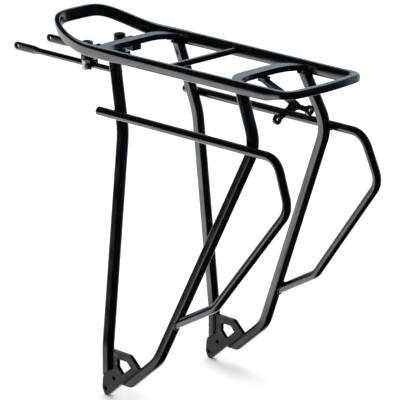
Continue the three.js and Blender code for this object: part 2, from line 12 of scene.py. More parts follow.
import bmesh
import bpy
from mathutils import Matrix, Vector

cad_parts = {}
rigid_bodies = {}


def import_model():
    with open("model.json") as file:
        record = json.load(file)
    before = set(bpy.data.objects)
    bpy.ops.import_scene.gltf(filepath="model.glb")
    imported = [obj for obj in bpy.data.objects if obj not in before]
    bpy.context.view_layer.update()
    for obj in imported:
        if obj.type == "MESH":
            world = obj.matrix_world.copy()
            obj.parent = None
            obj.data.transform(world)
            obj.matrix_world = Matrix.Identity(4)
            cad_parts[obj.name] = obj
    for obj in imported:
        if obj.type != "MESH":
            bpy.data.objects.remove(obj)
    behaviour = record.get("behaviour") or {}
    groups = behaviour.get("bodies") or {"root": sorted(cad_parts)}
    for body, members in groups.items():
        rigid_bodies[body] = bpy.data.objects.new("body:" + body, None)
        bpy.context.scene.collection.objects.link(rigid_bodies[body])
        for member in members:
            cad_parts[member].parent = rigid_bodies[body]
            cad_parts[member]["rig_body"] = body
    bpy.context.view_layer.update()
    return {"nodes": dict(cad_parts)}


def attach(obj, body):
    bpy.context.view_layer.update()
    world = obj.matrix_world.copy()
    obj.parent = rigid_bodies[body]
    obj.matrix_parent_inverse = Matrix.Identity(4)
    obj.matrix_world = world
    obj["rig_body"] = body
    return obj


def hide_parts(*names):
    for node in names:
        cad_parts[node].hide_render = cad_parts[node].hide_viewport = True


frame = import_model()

MM = 0.001
BLACK_ALLOY = "black_alloy"
BLACK_FASTENER = "black_fastener"
BRIGHT_STEEL = "bright_steel"
BLACK_PLASTIC = "black_plastic"
SIDES = {"left": -1, "right": 1}
X_AXIS = Vector((1, 0, 0))
Y_AXIS = Vector((0, 1, 0))
Z_AXIS = Vector((0, 0, 1))

# %% [markdown]
# ## The camera
# A product picture of a long, open frame is taken from far away with a long lens, because a near lens would
# spread the near legs and squeeze the far ones. An orthographic camera would do nearly the same, but it
# loses the last trace of depth. This one stands three metres off the rack's left rear corner, three times
# as high as the deck, and looks down on it.

# %% Place the camera
LENS = 260.04
CAMERA_PLACE = Vector((2.184, -2.163, 1.156))
CAMERA_TARGET = Vector((0.06399, 0.0, 0.21453))
FILM_WIDTH = 36.0

camera_data = bpy.data.cameras.new("camera")
camera_data.sensor_fit = "HORIZONTAL"
camera_data.sensor_width = FILM_WIDTH
camera_data.lens = LENS
camera = bpy.data.objects.new("camera", camera_data)
camera.location = CAMERA_PLACE
camera.rotation_euler = (CAMERA_TARGET - CAMERA_PLACE).to_track_quat("-Z", "Y").to_euler()
bpy.context.scene.collection.objects.link(camera)
bpy.context.scene.camera = camera
print(f"camera {(CAMERA_TARGET - CAMERA_PLACE).length:.2f} m from its target")

# %% [markdown]
# ## The black finishes
# The frame is aluminium with a satin black coat. Such a coat is never one flat black: it has a fine orange
# peel, it drifts a little in tone along a tube, it thins on edges that rub against bags and straps, and
# dust dulls what faces up. The lowest stretch, near the hub, is darker: that is painted shade, for the dim
# reflections that low parts get. Painted pictures could carry all this, but they need unwrapped surfaces,
# and noise in the object's own space runs on from piece to piece. The steel screws have a thinner, duller
# black. One function makes them all, and each finish gets its own numbers.

# %% A material for coated metal
# Painted shade: below this height the coat's colour is scaled darker, standing in for the dim reflections
# low down.
SHADE_TOP = 0.085  # metres above the foot holes
SHADE_FADE = 0.035  # metres over which it comes in
SHADE_TONE = 0.35


def coated_metal(name, colour, worn, roughness, metallic, grain, wear, bump):
    material = bpy.data.materials.new(name)
    material.use_nodes = True
    tree = material.node_tree
    tree.nodes.clear()
    nodes = tree.nodes
    links = tree.links

    tone_frame = nodes.new("NodeFrame")
    tone_frame.label = "tone and low painted shade"
    wear_frame = nodes.new("NodeFrame")
    wear_frame.label = "rubbed edges"
    gloss_frame = nodes.new("NodeFrame")
    gloss_frame.label = "gloss and dust"
    relief_frame = nodes.new("NodeFrame")
    relief_frame.label = "orange peel"

    place = nodes.new("ShaderNodeTexCoord")
    place.label = "where on the rack"
    place.location = (-1500, 0)

    drift = nodes.new("ShaderNodeTexNoise")
    drift.label = "slow drift of tone"
    drift.location = (-1250, 420)
    drift.inputs["Scale"].default_value = 22.0
    drift.inputs["Detail"].default_value = 4.0
    drift.parent = tone_frame
    tone = nodes.new("ShaderNodeValToRGB")
    tone.label = "darker and lighter coat"
    tone.location = (-1000, 420)
    tone.color_ramp.elements[0].position = 0.32
    tone.color_ramp.elements[0].color = (*(0.82 * part for part in colour), 1.0)
    tone.color_ramp.elements[1].position = 0.68
    tone.color_ramp.elements[1].color = (*(1.16 * part for part in colour), 1.0)
    tone.parent = tone_frame

    # Painted shade: the colour is scaled darker towards the feet, from the object's height.
    level = nodes.new("ShaderNodeSeparateXYZ")
    level.label = "height above the feet"
    level.location = (-1250, 760)
    level.parent = tone_frame
    low_shade = nodes.new("ShaderNodeMapRange")
    low_shade.label = "painted shade near the feet"
    low_shade.location = (-1000, 760)
    low_shade.inputs["From Min"].default_value = SHADE_TOP - SHADE_FADE
    low_shade.inputs["From Max"].default_value = SHADE_TOP
    low_shade.inputs["To Min"].default_value = SHADE_TONE
    low_shade.parent = tone_frame
    darkened_low = nodes.new("ShaderNodeVectorMath")
    darkened_low.label = "darker near the feet"
    darkened_low.operation = "SCALE"
    darkened_low.location = (-740, 560)
    darkened_low.parent = tone_frame

    shape = nodes.new("ShaderNodeNewGeometry")
    shape.label = "edges and facing"
    shape.location = (-1500, -320)
    rub = nodes.new("ShaderNodeTexNoise")
    rub.label = "where things rub"
    rub.location = (-1250, 120)
    rub.inputs["Scale"].default_value = 160.0
    rub.inputs["Detail"].default_value = 6.0
    rub.parent = wear_frame
    sharp = nodes.new("ShaderNodeMapRange")
    sharp.label = "only convex edges"
    sharp.location = (-1000, 120)
    sharp.inputs["From Min"].default_value = 0.53
    sharp.inputs["From Max"].default_value = 0.62
    sharp.parent = wear_frame
    patchy = nodes.new("ShaderNodeMapRange")
    patchy.label = "broken into patches"
    patchy.location = (-1000, -120)
    patchy.inputs["From Min"].default_value = 0.45
    patchy.inputs["From Max"].default_value = 0.7
    patchy.inputs["To Max"].default_value = wear
    patchy.parent = wear_frame
    amount = nodes.new("ShaderNodeMath")
    amount.label = "wear on an edge"
    amount.operation = "MULTIPLY"
    amount.location = (-760, 60)
    amount.parent = wear_frame
    worn_coat = nodes.new("ShaderNodeMix")
    worn_coat.label = "coat or worn metal"
    worn_coat.data_type = "RGBA"
    worn_coat.location = (-520, 300)
    worn_coat.inputs["B"].default_value = (*worn, 1.0)
    worn_coat.parent = wear_frame

    smear = nodes.new("ShaderNodeTexNoise")
    smear.label = "handling marks"
    smear.location = (-1250, -420)
    smear.inputs["Scale"].default_value = 48.0
    smear.inputs["Detail"].default_value = 8.0
    smear.inputs["Roughness"].default_value = 0.62
    smear.parent = gloss_frame
    gloss = nodes.new("ShaderNodeMapRange")
    gloss.label = "satin to half gloss"
    gloss.location = (-1000, -420)
    gloss.inputs["From Min"].default_value = 0.3
    gloss.inputs["From Max"].default_value = 0.7
    gloss.inputs["To Min"].default_value = roughness - 0.05
    gloss.inputs["To Max"].default_value = roughness + 0.07
    gloss.parent = gloss_frame
    facing = nodes.new("ShaderNodeSeparateXYZ")
    facing.label = "how far it faces up"
    facing.location = (-1250, -680)
    facing.parent = gloss_frame
    dust = nodes.new("ShaderNodeMapRange")
    dust.label = "dust on top faces"
    dust.location = (-1000, -680)
    dust.inputs["From Min"].default_value = 0.75
    dust.inputs["To Max"].default_value = 0.05
    dust.parent = gloss_frame
    dusty = nodes.new("ShaderNodeMath")
    dusty.label = "gloss with dust"
    dusty.operation = "ADD"
    dusty.use_clamp = True
    dusty.location = (-760, -520)
    dusty.parent = gloss_frame

    peel = nodes.new("ShaderNodeTexNoise")
    peel.label = "orange peel"
    peel.location = (-1250, -940)
    peel.inputs["Scale"].default_value = grain
    peel.inputs["Detail"].default_value = 3.0
    peel.parent = relief_frame
    specks = nodes.new("ShaderNodeTexVoronoi")
    specks.label = "fine grains in the coat"
    specks.location = (-1250, -1200)
    specks.inputs["Scale"].default_value = 2.4 * grain
    specks.parent = relief_frame
    height = nodes.new("ShaderNodeMath")
    height.label = "peel and grains"
    height.operation = "MULTIPLY_ADD"
    height.location = (-1000, -1040)
    height.inputs[1].default_value = 0.3
    height.parent = relief_frame
    relief = nodes.new("ShaderNodeBump")
    relief.label = "raised coat"
    relief.location = (-520, -940)
    relief.inputs["Strength"].default_value = bump
    relief.inputs["Distance"].default_value = 0.12 * MM
    relief.parent = relief_frame

    surface = nodes.new("ShaderNodeBsdfPrincipled")
    surface.label = "coated metal"
    surface.location = (-220, 0)
    surface.inputs["Metallic"].default_value = metallic
    surface.inputs["IOR"].default_value = 1.52
    surface.inputs["Coat Weight"].default_value = 0.2
    surface.inputs["Coat Roughness"].default_value = 0.16
    output = nodes.new("ShaderNodeOutputMaterial")
    output.label = "surface"
    output.location = (100, 0)

    links.new(place.outputs["Object"], drift.inputs["Vector"])
    links.new(drift.outputs["Fac"], tone.inputs["Fac"])
    links.new(place.outputs["Object"], rub.inputs["Vector"])
    links.new(shape.outputs["Pointiness"], sharp.inputs["Value"])
    links.new(rub.outputs["Fac"], patchy.inputs["Value"])
    links.new(sharp.outputs["Result"], amount.inputs[0])
    links.new(patchy.outputs["Result"], amount.inputs[1])
    links.new(amount.outputs["Value"], worn_coat.inputs["Factor"])
    links.new(place.outputs["Object"], level.inputs["Vector"])
    links.new(level.outputs["Z"], low_shade.inputs["Value"])
    links.new(tone.outputs["Color"], darkened_low.inputs[0])
    links.new(low_shade.outputs["Result"], darkened_low.inputs["Scale"])
    links.new(darkened_low.outputs["Vector"], worn_coat.inputs["A"])
    links.new(worn_coat.outputs["Result"], surface.inputs["Base Color"])
    links.new(place.outputs["Object"], smear.inputs["Vector"])
    links.new(smear.outputs["Fac"], gloss.inputs["Value"])
    links.new(shape.outputs["Normal"], facing.inputs["Vector"])
    links.new(facing.outputs["Z"], dust.inputs["Value"])
    links.new(gloss.outputs["Result"], dusty.inputs[0])
    links.new(dust.outputs["Result"], dusty.inputs[1])
    links.new(dusty.outputs["Value"], surface.inputs["Roughness"])
    links.new(place.outputs["Object"], peel.inputs["Vector"])
    links.new(place.outputs["Object"], specks.inputs["Vector"])
    links.new(specks.outputs["Distance"], height.inputs[0])
    links.new(peel.outputs["Fac"], height.inputs[2])
    links.new(height.outputs["Value"], relief.inputs["Height"])
    links.new(relief.outputs["Normal"], surface.inputs["Normal"])
    links.new(surface.outputs["BSDF"], output.inputs["Surface"])
    return material


tube_coat = coated_metal(
    "tube_coat", (0.135, 0.14, 0.15), (0.3, 0.3, 0.31), 0.19, 1.0, 900.0, 0.3, 0.12
)
plate_coat = coated_metal(
    "plate_coat", (0.14, 0.147, 0.16), (0.3, 0.3, 0.31), 0.24, 1.0, 1100.0, 0.4, 0.16
)
weld_coat = coated_metal(
    "weld_coat", (0.12, 0.125, 0.135), (0.28, 0.28, 0.29), 0.27, 1.0, 700.0, 0.2, 0.3
)
# A darker copy of the plate coat, for the foot plates, the stay arms and the light bracket: painted shade
# for pieces that sit low or under the deck.
shaded_plate_coat = coated_metal(
    "shaded_plate_coat", (0.075, 0.08, 0.09), (0.3, 0.3, 0.31), 0.3, 1.0, 1100.0, 0.4, 0.16
)
screw_black = coated_metal(
    "screw_black", (0.09, 0.09, 0.096), (0.32, 0.31, 0.3), 0.3, 1.0, 1600.0, 0.5, 0.15
)
FINISHES = (tube_coat, plate_coat, weld_coat, shaded_plate_coat, screw_black)
print("black finishes:", ", ".join(material.name for material in FINISHES))

# %% [markdown]
# ## Bright steel
# The straps round the stays are bare stainless steel. Their brush marks run round the strap, so they are
# noise that is squeezed sixty times along the stay. A Wave texture would give stripes too, but stripes all
# alike look printed. The same squeezed noise drives the roughness and the bump, because one scratch changes
# both.

# %% A material for the brushed straps
def brushed_steel(name):
    material = bpy.data.materials.new(name)
    material.use_nodes = True
    tree = material.node_tree
    tree.nodes.clear()
    nodes = tree.nodes
    links = tree.links

    brush_frame = nodes.new("NodeFrame")
    brush_frame.label = "brush marks"
    stain_frame = nodes.new("NodeFrame")
    stain_frame.label = "handling and colour"

    place = nodes.new("ShaderNodeTexCoord")
    place.label = "where on the strap"
    place.location = (-1300, 0)
    stretch = nodes.new("ShaderNodeMapping")
    stretch.label = "marks run round the strap"
    stretch.location = (-1080, 120)
    stretch.inputs["Scale"].default_value = (60.0, 1.0, 1.0)
    stretch.parent = brush_frame
    marks = nodes.new("ShaderNodeTexNoise")
    marks.label = "brush marks"
    marks.location = (-860, 120)
    marks.inputs["Scale"].default_value = 120.0
    marks.inputs["Detail"].default_value = 5.0
    marks.parent = brush_frame
    mark_gloss = nodes.new("ShaderNodeMapRange")
    mark_gloss.label = "gloss between marks"
    mark_gloss.location = (-600, 120)
    mark_gloss.inputs["To Min"].default_value = 0.2
    mark_gloss.inputs["To Max"].default_value = 0.42
    mark_gloss.parent = brush_frame
    mark_relief = nodes.new("ShaderNodeBump")
    mark_relief.label = "depth of the marks"
    mark_relief.location = (-600, -160)
    mark_relief.inputs["Strength"].default_value = 0.25
    mark_relief.inputs["Distance"].default_value = 0.05 * MM
    mark_relief.parent = brush_frame

    stain = nodes.new("ShaderNodeTexNoise")
    stain.label = "handling stains"
    stain.location = (-860, 440)
    stain.inputs["Scale"].default_value = 260.0
    stain.inputs["Detail"].default_value = 3.0
    stain.parent = stain_frame
    colour = nodes.new("ShaderNodeValToRGB")
    colour.label = "clean and stained steel"
    colour.location = (-600, 440)
    colour.color_ramp.elements[0].position = 0.35
    colour.color_ramp.elements[0].color = (0.74, 0.74, 0.75, 1.0)
    colour.color_ramp.elements[1].position = 0.65
    colour.color_ramp.elements[1].color = (0.92, 0.92, 0.93, 1.0)
    colour.parent = stain_frame

    surface = nodes.new("ShaderNodeBsdfPrincipled")
    surface.label = "stainless steel"
    surface.location = (-280, 120)
    surface.inputs["Metallic"].default_value = 0.2
    output = nodes.new("ShaderNodeOutputMaterial")
    output.label = "surface"
    output.location = (40, 120)

    links.new(place.outputs["Object"], stretch.inputs["Vector"])
    links.new(stretch.outputs["Vector"], marks.inputs["Vector"])
    links.new(marks.outputs["Fac"], mark_gloss.inputs["Value"])
    links.new(marks.outputs["Fac"], mark_relief.inputs["Height"])
    links.new(place.outputs["Object"], stain.inputs["Vector"])
    links.new(stain.outputs["Fac"], colour.inputs["Fac"])
    links.new(colour.outputs["Color"], surface.inputs["Base Color"])
    links.new(mark_gloss.outputs["Result"], surface.inputs["Roughness"])
    links.new(mark_relief.outputs["Normal"], surface.inputs["Normal"])
    links.new(surface.outputs["BSDF"], output.inputs["Surface"])
    return material


strap_steel = brushed_steel("strap_steel")
print("bright finish:", strap_steel.name)

# %% [markdown]
# ## Moulded plastic
# The plugs in the rails and the caps on the stays are cheap moulded plastic: a soft black with a fine
# spark-eroded grain and hardly any gloss. Plain noise is too smooth for it. Voronoi cells a third of a
# millimetre wide have the sharp valleys of such a grain.

# %% A material for the plugs and caps
def moulded_plastic(name):
    material = bpy.data.materials.new(name)
    material.use_nodes = True
    tree = material.node_tree
    tree.nodes.clear()
    nodes = tree.nodes
    links = tree.links

    grain_frame = nodes.new("NodeFrame")
    grain_frame.label = "moulded grain"
    colour_frame = nodes.new("NodeFrame")
    colour_frame.label = "colour and gloss"

    place = nodes.new("ShaderNodeTexCoord")
    place.label = "where on the plug"
    place.location = (-1100, 0)
    grain = nodes.new("ShaderNodeTexVoronoi")
    grain.label = "grain of the mould"
    grain.location = (-860, -200)
    grain.inputs["Scale"].default_value = 3000.0
    grain.parent = grain_frame
    relief = nodes.new("ShaderNodeBump")
    relief.label = "depth of the grain"
    relief.location = (-560, -200)
    relief.inputs["Strength"].default_value = 0.4
    relief.inputs["Distance"].default_value = 0.04 * MM
    relief.parent = grain_frame

    scuff = nodes.new("ShaderNodeTexNoise")
    scuff.label = "scuffs"
    scuff.location = (-860, 200)
    scuff.inputs["Scale"].default_value = 300.0
    scuff.inputs["Detail"].default_value = 5.0
    scuff.parent = colour_frame
    colour = nodes.new("ShaderNodeValToRGB")
    colour.label = "black and scuffed black"
    colour.location = (-560, 320)
    colour.color_ramp.elements[0].position = 0.4
    colour.color_ramp.elements[0].color = (0.014, 0.014, 0.015, 1.0)
    colour.color_ramp.elements[1].position = 0.75
    colour.color_ramp.elements[1].color = (0.034, 0.034, 0.036, 1.0)
    colour.parent = colour_frame
    gloss = nodes.new("ShaderNodeMapRange")
    gloss.label = "dull to half dull"
    gloss.location = (-560, 60)
    gloss.inputs["To Min"].default_value = 0.42
    gloss.inputs["To Max"].default_value = 0.62
    gloss.parent = colour_frame

    surface = nodes.new("ShaderNodeBsdfPrincipled")
    surface.label = "moulded plastic"
    surface.location = (-240, 100)
    surface.inputs["IOR"].default_value = 1.48
    output = nodes.new("ShaderNodeOutputMaterial")
    output.label = "surface"
    output.location = (80, 100)

    links.new(place.outputs["Object"], grain.inputs["Vector"])
    links.new(grain.outputs["Distance"], relief.inputs["Height"])
    links.new(place.outputs["Object"], scuff.inputs["Vector"])
    links.new(scuff.outputs["Fac"], colour.inputs["Fac"])
    links.new(scuff.outputs["Fac"], gloss.inputs["Value"])
    links.new(colour.outputs["Color"], surface.inputs["Base Color"])
    links.new(gloss.outputs["Result"], surface.inputs["Roughness"])
    links.new(relief.outputs["Normal"], surface.inputs["Normal"])
    links.new(surface.outputs["BSDF"], output.inputs["Surface"])
    return material


plug_plastic = moulded_plastic("plug_plastic")
print("plastic finish:", plug_plastic.name)

# %% [markdown]
# ## Tubes by sweeping a section
# Every tube here is a section that is carried along a line. Blender can do that with a bevelled curve, but
# a bevelled curve keeps one section all the way, and the deck loop changes its section as it goes. Placing
# the rings of points ourselves handles both kinds with the same few lines. A section is a
# superellipse: power 2 is round, and higher powers are squarer.

# %% Rings, skins and finished pieces
ROUND = 2.0  # the power of a round section


def section_ring(centre, across, up, width, height, power, count, shear=0.0):
    ring = []
    for step in range(count):
        angle = 2 * math.pi * (step + 0.5) / count
        c = math.cos(angle)
        s = math.sin(angle)
        scale = (abs(c) ** power + abs(s) ** power) ** (-1 / power)
        rise = height / 2 * s * scale
        ring.append(centre + across * (width / 2 * c * scale + shear * rise) + up * rise)
    return ring


def skin(rings, closed):
    work = bmesh.new()
    rows = [[work.verts.new(point * MM) for point in ring] for ring in rings]
    count = len(rows[0])
    last = len(rows) if closed else len(rows) - 1
    for i in range(last):
        here = rows[i]
        there = rows[(i + 1) % len(rows)]
        for k in range(count):
            following = (k + 1) % count
            work.faces.new((here[k], here[following], there[following], there[k]))
    if not closed:
        work.faces.new(rows[0])
        work.faces.new(list(reversed(rows[-1])))
    bmesh.ops.recalc_face_normals(work, faces=work.faces)
    return work


def finish_piece(work, name, body, material, sharp=40.0):
    mesh = bpy.data.meshes.new(name)
    work.to_mesh(mesh)
    work.free()
    mesh.polygons.foreach_set("use_smooth", [True] * len(mesh.polygons))
    mesh.set_sharp_from_angle(angle=math.radians(sharp))
    mesh.materials.append(material)
    piece = bpy.data.objects.new(name, mesh)
    bpy.context.scene.collection.objects.link(piece)
    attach(piece, body)
    return piece


def round_edges(piece, width, angle):
    bevel = piece.modifiers.new("rounded_edges", "BEVEL")
    bevel.width = width * MM
    bevel.segments = 3
    bevel.limit_method = "ANGLE"
    bevel.angle_limit = math.radians(angle)
    bevel.harden_normals = True

# %% [markdown]
# ## The deck loop
# One tube runs all the way round the deck. Along the sides it is a deep oval. Towards the front it is
# pressed into a thin, upright band that climbs and leans outwards, and across the rear it is pressed low
# and flat. Seen from above, the front is half of a superellipse, the rear is a shallow bow with two tight
# corners. The line is walked in even steps, and the section is looked up from how far forward a step is.

# %% Shape of the deck loop
DECK_FRONT_X = -128.0
DECK_REAR_X = 248.3
HOOP_START_X = -20.0
HOOP_POWERS = (2.3, 4.2)  # of the hoop seen from above, along X and along Y
DECK_HALF_FRONT = 58.3
DECK_HALF_REAR = 56.2
REAR_CORNER = 13.5
REAR_BOW = 3.0
DECK_TOP_Z = 381.4
RISE_START_X = -51.6
RISE = 18.5
RISE_POWER = 1.94
FLARE = 0.19
FLARE_RANGE = (230.0, -20.0)  # here and below, from where a change starts to where it is full
HOOP_RANGE = (-35.0, -95.0)
HOOP_SQUARE_RANGE = (20.0, -80.0)
REAR_RANGE = (212.0, 240.0)
SIDE_SECTION = (11.0, 14.0, 2.6)  # width, height and power
HOOP_SECTION = (6.8, 13.3, 5.0)
REAR_SECTION = (11.0, 8.6, 3.6)
BOW_STEPS = 24
CORNER_STEPS = 20
HOOP_STEPS = 120
DECK_STEP = 2.2
DECK_POINTS = 40
SKIN_GAP = 0.1  # a swept piece is this much slimmer than the solid that it stands for


def ease(start, end, x):
    share = min(1.0, max(0.0, (x - start) / (end - start)))
    return share * share * (3 - 2 * share)


def deck_half_plan():
    points = []
    corner_start = DECK_HALF_REAR - REAR_CORNER
    corner_x = DECK_REAR_X - REAR_BOW - REAR_CORNER
    for i in range(BOW_STEPS + 1):
        share = i / BOW_STEPS
        points.append(Vector((DECK_REAR_X - REAR_BOW * share**2, corner_start * share, 0)))
    for i in range(1, CORNER_STEPS + 1):
        angle = i / CORNER_STEPS * math.pi / 2
        x = corner_x + REAR_CORNER * math.cos(angle)
        points.append(Vector((x, corner_start + REAR_CORNER * math.sin(angle), 0)))
    for i in range(HOOP_STEPS + 1):
        angle = i / HOOP_STEPS * math.pi / 2
        x = HOOP_START_X - (HOOP_START_X - DECK_FRONT_X) * math.sin(angle) ** (2 / HOOP_POWERS[0])
        y = DECK_HALF_FRONT * max(0.0, math.cos(angle)) ** (2 / HOOP_POWERS[1])
        points.append(Vector((x, y, 0)))
    return points


def even_steps(points, step, closed=False):
    line = points + [points[0]] if closed else points
    lengths = [(b - a).length for a, b in zip(line, line[1:])]
    total = sum(lengths)
    count = max(2, round(total / step))
    result = []
    index = 0
    passed = 0.0
    for i in range(count if closed else count + 1):
        target = total * i / count
        while index < len(lengths) - 1 and passed + lengths[index] < target:
            passed += lengths[index]
            index += 1
        share = min(1.0, (target - passed) / max(lengths[index], 1e-9))
        result.append(line[index].lerp(line[index + 1], share))
    return result


def deck_section(x):
    hoop = ease(*HOOP_RANGE, x)
    squarer = ease(*HOOP_SQUARE_RANGE, x)
    rear = ease(*REAR_RANGE, x)
    mixed = []
    for side, front, back, share in zip(SIDE_SECTION, HOOP_SECTION, REAR_SECTION, (hoop, hoop, squarer)):
        value = side + (front - side) * share
        mixed.append(value + (back - value) * rear)
    width, height, power = mixed
    climb = max(0.0, (RISE_START_X - x) / (RISE_START_X - DECK_FRONT_X))
    z = DECK_TOP_Z - height / 2 + RISE * climb**RISE_POWER
    return width - SKIN_GAP, height - SKIN_GAP, power, z, FLARE * ease(*FLARE_RANGE, x)


def deck_rings():
    half = deck_half_plan()
    other = [Vector((p.x, -p.y, 0)) for p in reversed(half[1:-1])]
    line = even_steps(half + other, DECK_STEP, closed=True)
    rings = []
    for i, point in enumerate(line):
        along = (line[(i + 1) % len(line)] - line[i - 1]).normalized()
        outwards = Vector((along.y, -along.x, 0))
        width, height, power, z, shear = deck_section(point.x)
        centre = Vector((point.x, point.y, z))
        rings.append(section_ring(centre, outwards, Z_AXIS, width, height, power, DECK_POINTS, shear))
    return rings


deck = finish_piece(skin(deck_rings(), True), "deck_loop_tube", "rack", tube_coat)
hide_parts("deck_loop")
print(f"deck loop: {len(deck.data.polygons)} faces")

# %% [markdown]
# ## Legs and rails
# These are bent tubes. A tube bender leaves straight stretches with a smooth bend between them, so the line
# is made the same way: it stops short of each corner, curves across, and goes straight on. The section
# keeps one face outwards all along, because a square tube doesn't twist when it is bent in one plane.

# %% Bent lines and tubes along them
LEG_SIZE = 11.3
LEG_POWER = 4.2
LEG_LEAN = 0.1107
LEG_PLANE_Y = 90.4
FOOT_Y = 84.3
LEG_TOP_Z = 370.7
LEG_IN_DECK = 0.6  # how far a leg runs up into the deck loop
LEG_STEP = 3.0
FRONT_TOP = (-18.2, LEG_TOP_Z)
FRONT_BEND = (3.6, 293.0)
FRONT_KNEE = (4.4, 52.0)
FRONT_END = (4.4, 4.0)
FRONT_RADII = (120.0, 90.0)
FRONT_CUT = ((-1.6, 16.5), (10.4, 25.5))
REAR_TOP = (172.2, LEG_TOP_Z)
REAR_BEND = (199.2, 315.0)
REAR_HEEL = (83.1, 53.3)
REAR_END = (22.0, 0.7)
REAR_RADII = (45.0, 40.0)
REAR_CUT_Z = 13.5
RAIL_RADIUS = 5.0
RAIL_PLANE_Y = 88.7
RAIL_LEAN = 0.0685
RAIL_BEND = 24.0
RAIL_STEP = 2.5
RAIL_CORNERS = [(-23.6, 312.4), (240.9, 312.4), (261.5, 261.0), (165.2, 134.0), (112.0, 103.8)]
BEND_STEPS = 24
TUBE_POINTS = 36
RAIL_POINTS = 32


def leg_y(z):
    return LEG_PLANE_Y - LEG_LEAN * z


def rail_y(z):
    return RAIL_PLANE_Y - RAIL_LEAN * z


def bent_line(corners, radii):
    line = [corners[0]]
    for i in range(1, len(corners) - 1):
        before = (corners[i - 1] - corners[i]).normalized()
        after = (corners[i + 1] - corners[i]).normalized()
        reach = radii[i - 1] / math.tan(before.angle(after) / 2)
        start = corners[i] + before * reach
        end = corners[i] + after * reach
        for step in range(BEND_STEPS + 1):
            t = step / BEND_STEPS
            line.append(start * (1 - t) ** 2 + corners[i] * 2 * t * (1 - t) + end * t**2)
    line.append(corners[-1])
    return line


def tube_along(line, width, height, power, count):
    rings = []
    for i, point in enumerate(line):
        before = line[max(i - 1, 0)]
        after = line[min(i + 1, len(line) - 1)]
        along = (after - before).normalized()
        across = (Y_AXIS - along * Y_AXIS.dot(along)).normalized()
        rings.append(section_ring(point, across, along.cross(across), width, height, power, count))
    return skin(rings, False)


def saw_off(work, point, normal):
    everything = [*work.verts, *work.edges, *work.faces]
    sawn = bmesh.ops.bisect_plane(
        work, geom=everything, plane_co=point * MM, plane_no=normal, clear_outer=True
    )
    rim = [item for item in sawn["geom_cut"] if isinstance(item, bmesh.types.BMEdge)]
    bmesh.ops.contextual_create(work, geom=rim)
    bmesh.ops.recalc_face_normals(work, faces=work.faces)


# %% Front legs
def leg_tube(side, end, knee, bend, top, radii):
    lean_x = (top[0] - bend[0]) / (top[1] - bend[1])
    over_z = LEG_TOP_Z + LEG_IN_DECK
    corners = [
        Vector((end[0], side * FOOT_Y, end[1])),
        Vector((knee[0], side * FOOT_Y, knee[1])),
        Vector((bend[0], side * leg_y(bend[1]), bend[1])),
        Vector((bend[0] + lean_x * (over_z - bend[1]), side * leg_y(over_z), over_z)),
    ]
    size = LEG_SIZE - SKIN_GAP
    line = even_steps(bent_line(corners, radii), LEG_STEP)
    return tube_along(line, size, size, LEG_POWER, TUBE_POINTS)


def finish_leg(work, node):
    leg = finish_piece(work, f"{node}_tube", "rack", tube_coat)
    round_edges(leg, 0.6, 50.0)
    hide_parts(node)


(cut_x, cut_z), (end_x, end_z) = FRONT_CUT
sawn_off = Vector((end_z - cut_z, 0, cut_x - end_x)).normalized()
for name, side in SIDES.items():
    work = leg_tube(side, FRONT_END, FRONT_KNEE, FRONT_BEND, FRONT_TOP, FRONT_RADII)
    saw_off(work, Vector((cut_x, side * FOOT_Y, cut_z)), sawn_off)
    finish_leg(work, f"{name}_front_leg")
print("front legs sawn to the foot plates")

# %% Rear legs
for name, side in SIDES.items():
    work = leg_tube(side, REAR_END, REAR_HEEL, REAR_BEND, REAR_TOP, REAR_RADII)
    saw_off(work, Vector((REAR_END[0], side * FOOT_Y, REAR_CUT_Z)), -Z_AXIS)
    finish_leg(work, f"{name}_rear_leg")
print("rear legs sawn level at the feet")

# %% Pannier rails
RAIL_IN_LEG = 3.5  # how far the lower end runs into the leg that it is welded to


def rail_line(side):
    corners = [Vector((x, side * rail_y(z), z)) for x, z in RAIL_CORNERS]
    last = (corners[-1] - corners[-2]).normalized()
    corners[-1] = corners[-1] + last * RAIL_IN_LEG
    return bent_line(corners, [RAIL_BEND] * 3)


for name, side in SIDES.items():
    size = 2 * RAIL_RADIUS - SKIN_GAP
    line = even_steps(rail_line(side), RAIL_STEP)
    work = tube_along(line, size, size, ROUND, RAIL_POINTS)
    rail = finish_piece(work, f"{name}_pannier_rail_tube", "rack", tube_coat)
    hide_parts(f"{name}_pannier_rail")
print(f"rails of {2 * RAIL_RADIUS:.0f} mm tube")

# %% [markdown]
# ## The crossbar
# A flattened tube joins the two sides in the middle of the deck. A cylinder could be squashed to its shape,
# but the rings used so far keep its flat top and soft corners, and three of them are enough for a straight
# bar. It ends inside the deck loop's walls, so no gap shows.

# %% Crossbar
CROSSBAR_X = 66.5
CROSSBAR_SIZE = (8.0, 6.5)
CROSSBAR_POWER = 3.0
BRIDGE_TOP_Z = 378.0
CROSSBAR_Z = BRIDGE_TOP_Z - CROSSBAR_SIZE[1] / 2
CROSSBAR_END_Y = 56.0


def crossbar_rings():
    rings = []
    for share in (-1.0, 0.0, 1.0):
        centre = Vector((CROSSBAR_X, share * CROSSBAR_END_Y, CROSSBAR_Z))
        width, height = (size - SKIN_GAP for size in CROSSBAR_SIZE)
        rings.append(section_ring(centre, X_AXIS, Z_AXIS, width, height, CROSSBAR_POWER, TUBE_POINTS))
    return rings


bar = finish_piece(skin(crossbar_rings(), False), "middle_crossbar_tube", "rack", tube_coat)
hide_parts("middle_crossbar")
print("crossbar in place")

# %% [markdown]
# ## Plates, clamps and screws
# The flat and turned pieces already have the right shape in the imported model, but its edges are knife
# sharp, and no real edge is. A sharp edge catches no light, so it looks drawn rather than made. Each of
# these pieces is copied, its triangles are merged back into flat faces, and a bevel rounds the edges.
# Building them again would only risk a wrong size. The bevel is narrow on a screw, and wide on a bridge.

# %% Copy a solid and round its edges
EDGE_ANGLE = 28.0  # a fold sharper than this is an edge
FLAT_ANGLE = 1.0  # triangles that fold less than this are one face


